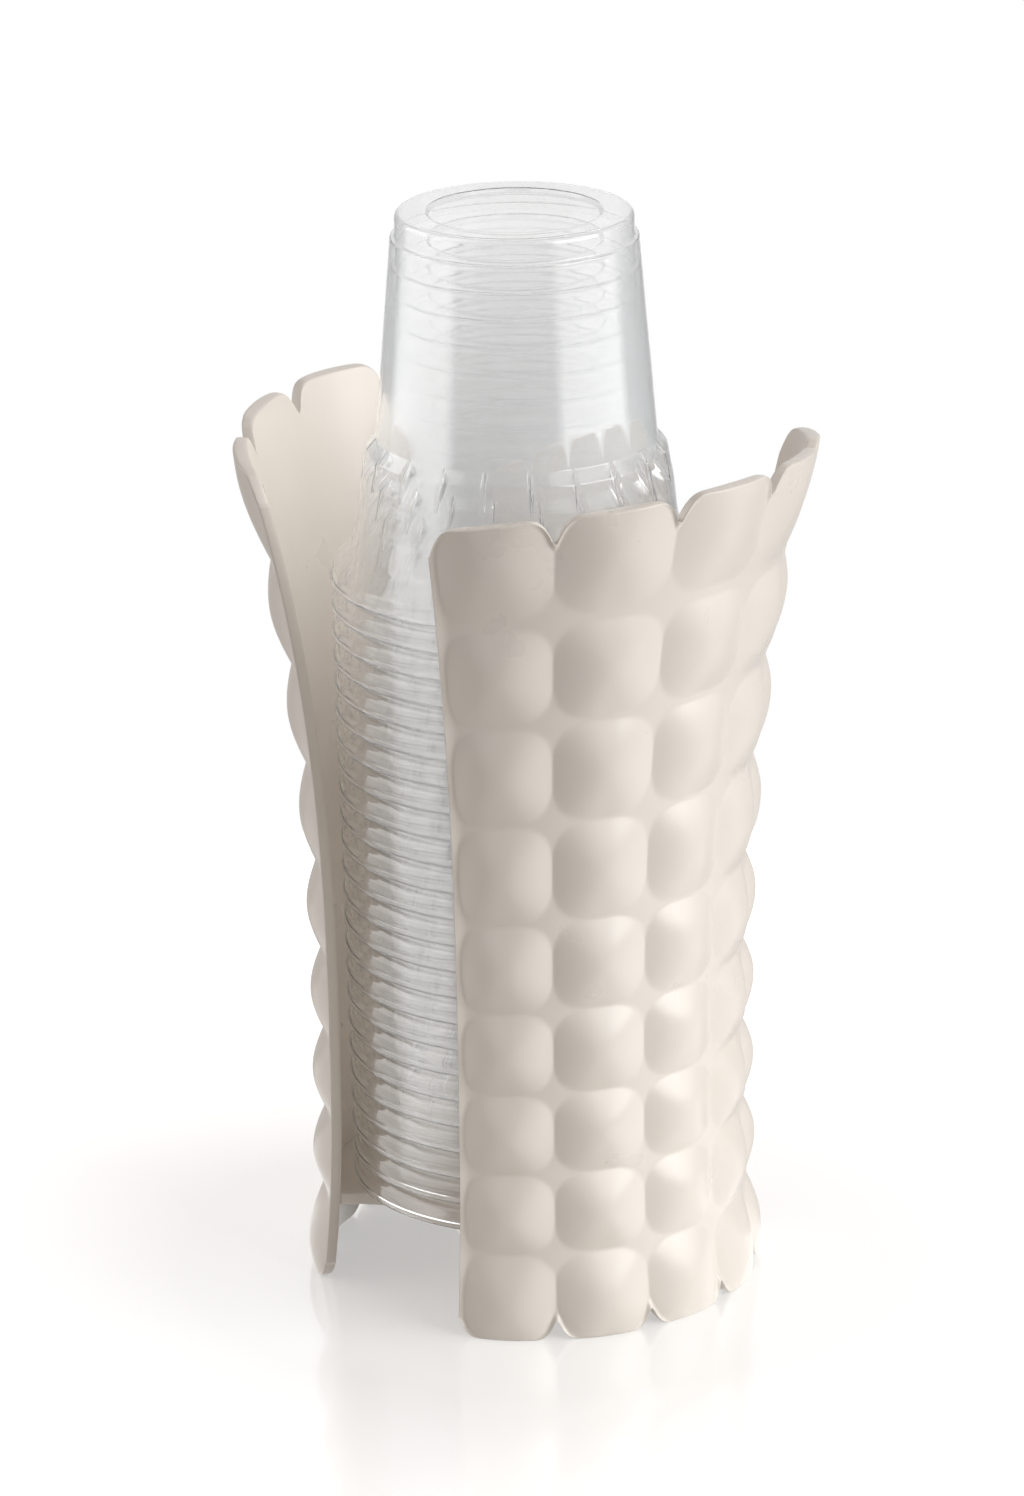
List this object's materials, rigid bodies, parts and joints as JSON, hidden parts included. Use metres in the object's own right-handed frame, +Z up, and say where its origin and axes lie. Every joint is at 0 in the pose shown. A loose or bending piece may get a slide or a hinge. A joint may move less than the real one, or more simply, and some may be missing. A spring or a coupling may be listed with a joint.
{
  "type": "cup dispenser",
  "caption": "Open holder of two opposite quilted, flared plastic walls on a raised floor, keeping a nested stack of clear tapered cups upside down for taking one at a time.",
  "frame": {"origin": "centre of the foot, on the surface that the holder stands on", "axes": "+Z up along the stack; the two openings face -Y and +Y, the walls stand at +X and -X"},
  "size_m": [0.1104, 0.0938, 0.2064],
  "materials": {
    "holder_plastic": "satin moulded, warm pale beige",
    "cup_plastic": "clear thin-wall, glossy"
  },
  "bodies": {
    "holder": {"holder": "holder_plastic"},
    "cup_01": {"cup_01": "cup_plastic"},
    "cup_02": {"cup_02": "cup_plastic"},
    "cup_03": {"cup_03": "cup_plastic"},
    "cup_04": {"cup_04": "cup_plastic"},
    "cup_05": {"cup_05": "cup_plastic"},
    "cup_06": {"cup_06": "cup_plastic"},
    "cup_07": {"cup_07": "cup_plastic"},
    "cup_08": {"cup_08": "cup_plastic"},
    "cup_09": {"cup_09": "cup_plastic"},
    "cup_10": {"cup_10": "cup_plastic"},
    "cup_11": {"cup_11": "cup_plastic"},
    "cup_12": {"cup_12": "cup_plastic"},
    "cup_13": {"cup_13": "cup_plastic"},
    "cup_14": {"cup_14": "cup_plastic"},
    "cup_15": {"cup_15": "cup_plastic"},
    "cup_16": {"cup_16": "cup_plastic"},
    "cup_17": {"cup_17": "cup_plastic"},
    "cup_18": {"cup_18": "cup_plastic"},
    "cup_19": {"cup_19": "cup_plastic"},
    "cup_20": {"cup_20": "cup_plastic"},
    "cup_21": {"cup_21": "cup_plastic"},
    "cup_22": {"cup_22": "cup_plastic"},
    "cup_23": {"cup_23": "cup_plastic"},
    "cup_24": {"cup_24": "cup_plastic"}
  },
  "joints": [
    {"name": "cup_01_lift", "type": "slide", "parent": "holder", "child": "cup_01", "axis": [0, 0, 1], "range_m": [0, 0.15]},
    {"name": "cup_02_lift", "type": "slide", "parent": "cup_01", "child": "cup_02", "axis": [0, 0, 1], "range_m": [0, 0.075]},
    {"name": "cup_03_lift", "type": "slide", "parent": "cup_02", "child": "cup_03", "axis": [0, 0, 1], "range_m": [0, 0.075]},
    {"name": "cup_04_lift", "type": "slide", "parent": "cup_03", "child": "cup_04", "axis": [0, 0, 1], "range_m": [0, 0.075]},
    {"name": "cup_05_lift", "type": "slide", "parent": "cup_04", "child": "cup_05", "axis": [0, 0, 1], "range_m": [0, 0.075]},
    {"name": "cup_06_lift", "type": "slide", "parent": "cup_05", "child": "cup_06", "axis": [0, 0, 1], "range_m": [0, 0.075]},
    {"name": "cup_07_lift", "type": "slide", "parent": "cup_06", "child": "cup_07", "axis": [0, 0, 1], "range_m": [0, 0.075]},
    {"name": "cup_08_lift", "type": "slide", "parent": "cup_07", "child": "cup_08", "axis": [0, 0, 1], "range_m": [0, 0.075]},
    {"name": "cup_09_lift", "type": "slide", "parent": "cup_08", "child": "cup_09", "axis": [0, 0, 1], "range_m": [0, 0.075]},
    {"name": "cup_10_lift", "type": "slide", "parent": "cup_09", "child": "cup_10", "axis": [0, 0, 1], "range_m": [0, 0.075]},
    {"name": "cup_11_lift", "type": "slide", "parent": "cup_10", "child": "cup_11", "axis": [0, 0, 1], "range_m": [0, 0.075]},
    {"name": "cup_12_lift", "type": "slide", "parent": "cup_11", "child": "cup_12", "axis": [0, 0, 1], "range_m": [0, 0.075]},
    {"name": "cup_13_lift", "type": "slide", "parent": "cup_12", "child": "cup_13", "axis": [0, 0, 1], "range_m": [0, 0.075]},
    {"name": "cup_14_lift", "type": "slide", "parent": "cup_13", "child": "cup_14", "axis": [0, 0, 1], "range_m": [0, 0.075]},
    {"name": "cup_15_lift", "type": "slide", "parent": "cup_14", "child": "cup_15", "axis": [0, 0, 1], "range_m": [0, 0.075]},
    {"name": "cup_16_lift", "type": "slide", "parent": "cup_15", "child": "cup_16", "axis": [0, 0, 1], "range_m": [0, 0.075]},
    {"name": "cup_17_lift", "type": "slide", "parent": "cup_16", "child": "cup_17", "axis": [0, 0, 1], "range_m": [0, 0.075]},
    {"name": "cup_18_lift", "type": "slide", "parent": "cup_17", "child": "cup_18", "axis": [0, 0, 1], "range_m": [0, 0.075]},
    {"name": "cup_19_lift", "type": "slide", "parent": "cup_18", "child": "cup_19", "axis": [0, 0, 1], "range_m": [0, 0.075]},
    {"name": "cup_20_lift", "type": "slide", "parent": "cup_19", "child": "cup_20", "axis": [0, 0, 1], "range_m": [0, 0.075]},
    {"name": "cup_21_lift", "type": "slide", "parent": "cup_20", "child": "cup_21", "axis": [0, 0, 1], "range_m": [0, 0.075]},
    {"name": "cup_22_lift", "type": "slide", "parent": "cup_21", "child": "cup_22", "axis": [0, 0, 1], "range_m": [0, 0.075]},
    {"name": "cup_23_lift", "type": "slide", "parent": "cup_22", "child": "cup_23", "axis": [0, 0, 1], "range_m": [0, 0.075]},
    {"name": "cup_24_lift", "type": "slide", "parent": "cup_23", "child": "cup_24", "axis": [0, 0, 1], "range_m": [0, 0.075]}
  ]
}
